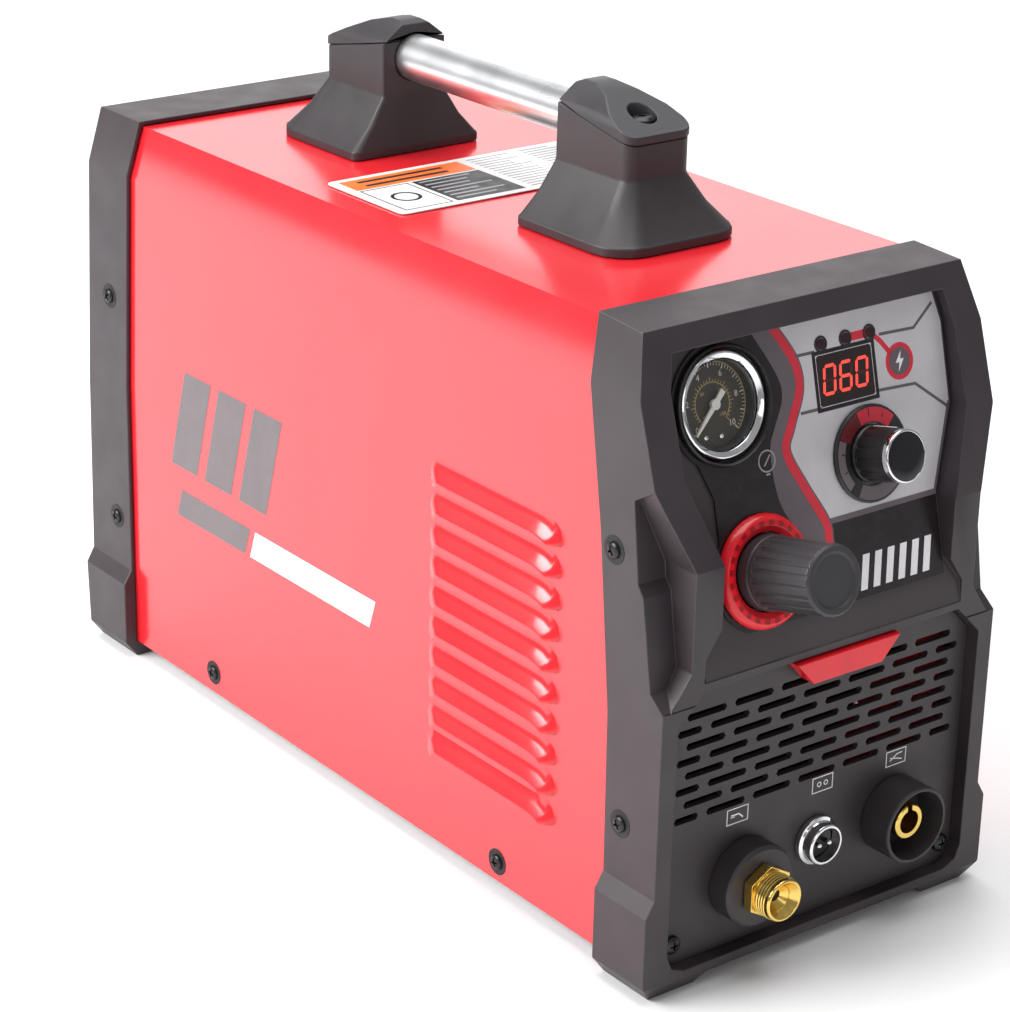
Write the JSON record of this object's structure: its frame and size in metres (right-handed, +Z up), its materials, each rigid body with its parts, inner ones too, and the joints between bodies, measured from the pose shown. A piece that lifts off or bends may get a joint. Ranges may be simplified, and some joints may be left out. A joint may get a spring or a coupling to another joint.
{
  "type": "plasma cutter unit",
  "caption": "Portable inverter plasma cutter power unit: red louvred sheet-steel case with grey moulded ends, pressure gauge, regulator, current knob, connectors and a top tube handle.",
  "frame": {"origin": "on the floor under the middle of the overall box", "axes": "+Z up, the front control panel faces -Y, +X is to the right seen from the front; the case is longest along Y"},
  "size_m": [0.1646, 0.4424, 0.2899],
  "materials": {
    "grey_plastic": "satin moulded plastic",
    "dark_plastic": "fine grained dark plastic",
    "black_plastic": "satin black plastic",
    "red_enamel": "gloss powder coat on sheet steel",
    "red_plastic": "gloss red plastic",
    "zinc_steel": "zinc plated sheet steel",
    "black_oxide": "blackened steel screws",
    "chrome": "polished chrome plate",
    "brass": "turned brass",
    "aluminium": "satin aluminium",
    "overlay_film": "printed polyester film",
    "clear_lens": "clear moulded lens",
    "smoked_window": "smoked red display window",
    "dial_face": "dark olive gauge dial",
    "pointer_white": "off-white pointer",
    "label_film": "printed label film",
    "circuit_board": "green solder mask",
    "copper_winding": "enamelled copper winding",
    "ferrite_core": "dark ferrite",
    "rubber": "black rubber"
  },
  "bodies": {
    "case": {"front_bezel": "grey_plastic", "rear_bezel": "grey_plastic", "shell_cover": "red_enamel", "base_tray": "zinc_steel", "grille_panel": "dark_plastic", "red_tab": "red_plastic", "panel_overlay": "overlay_film", "display_window": "smoked_window", "lamp_pipe": "clear_lens", "dial_ring": "black_plastic", "pot_body": "aluminium", "control_board": "circuit_board", "regulator_ring": "red_plastic", "regulator_body": "aluminium", "gauge_collar": "black_plastic", "gauge_case": "black_plastic", "gauge_bezel": "chrome", "gauge_dial": "dial_face", "gauge_lens": "clear_lens", "earth_socket_body": "black_plastic", "earth_socket_contact": "brass", "torch_boss": "black_plastic", "torch_fitting": "brass", "pilot_socket_shell": "chrome", "pilot_socket_insert": "black_plastic", "panel_screw_left": "black_oxide", "panel_screw_right": "black_oxide", "handle_tube": "aluminium", "handle_post_front": "black_plastic", "handle_post_rear": "black_plastic", "handle_cap_front": "black_plastic", "handle_cap_rear": "black_plastic", "handle_screw_front": "black_oxide", "handle_screw_rear": "black_oxide", "top_label": "label_film", "fan_frame": "black_plastic", "fan_guard": "zinc_steel", "switch_housing": "black_plastic", "power_inlet": "black_plastic", "earth_stud": "brass", "air_inlet": "brass", "capacitor": "black_plastic", "main_board": "circuit_board", "heatsink": "aluminium", "transformer_core": "ferrite_core", "transformer_coil": "copper_winding", "output_choke": "copper_winding", "valve_body": "brass", "valve_coil": "black_plastic", "feed_hose": "rubber", "torch_hose": "rubber"},
    "current_knob_turning": {"pot_shaft": "zinc_steel", "current_knob": "black_plastic", "knob_rim": "chrome"},
    "regulator_stem": {"regulator_stem": "zinc_steel"},
    "regulator_knob": {"regulator_knob": "black_plastic"},
    "gauge_pointer": {"gauge_pointer": "pointer_white"},
    "fan_rotor": {"fan_rotor": "dark_plastic"},
    "switch_rocker": {"switch_rocker": "red_plastic"},
    "valve_plunger": {"valve_plunger": "zinc_steel"}
  },
  "joints": [
    {"name": "current_knob_turn", "type": "hinge", "parent": "case", "child": "current_knob_turning", "pos_m": [0.0236, -0.17517, 0.1792], "axis": [0, 0.969, -0.247], "range_deg": [-150, 150]},
    {"name": "regulator_turn", "type": "hinge", "parent": "case", "child": "regulator_stem", "pos_m": [-0.031, -0.18251, 0.1504], "axis": [0, 0.969, -0.247], "range_deg": [-720, 720]},
    {"name": "regulator_pull", "type": "slide", "parent": "regulator_stem", "child": "regulator_knob", "axis": [0, -0.969, 0.247], "range_m": [0, 0.003]},
    {"name": "gauge_pointer_turn", "type": "hinge", "parent": "case", "child": "gauge_pointer", "pos_m": [-0.0396, -0.16788, 0.2078], "axis": [0, 0.969, -0.247], "range_deg": [0, 270], "stiffness_Nm_per_rad": 0.000002},
    {"name": "fan_spin", "type": "hinge", "parent": "case", "child": "fan_rotor", "pos_m": [0, 0.1797, 0.148], "axis": [0, 1, 0], "continuous": true},
    {"name": "power_switch", "type": "hinge", "parent": "case", "child": "switch_rocker", "pos_m": [0.04, 0.1827, 0.062], "axis": [-1, 0, 0], "range_deg": [0, 18]},
    {"name": "valve_lift", "type": "slide", "parent": "case", "child": "valve_plunger", "axis": [0, 0, 1], "range_m": [0, 0.004], "stiffness_N_per_m": 60}
  ]
}
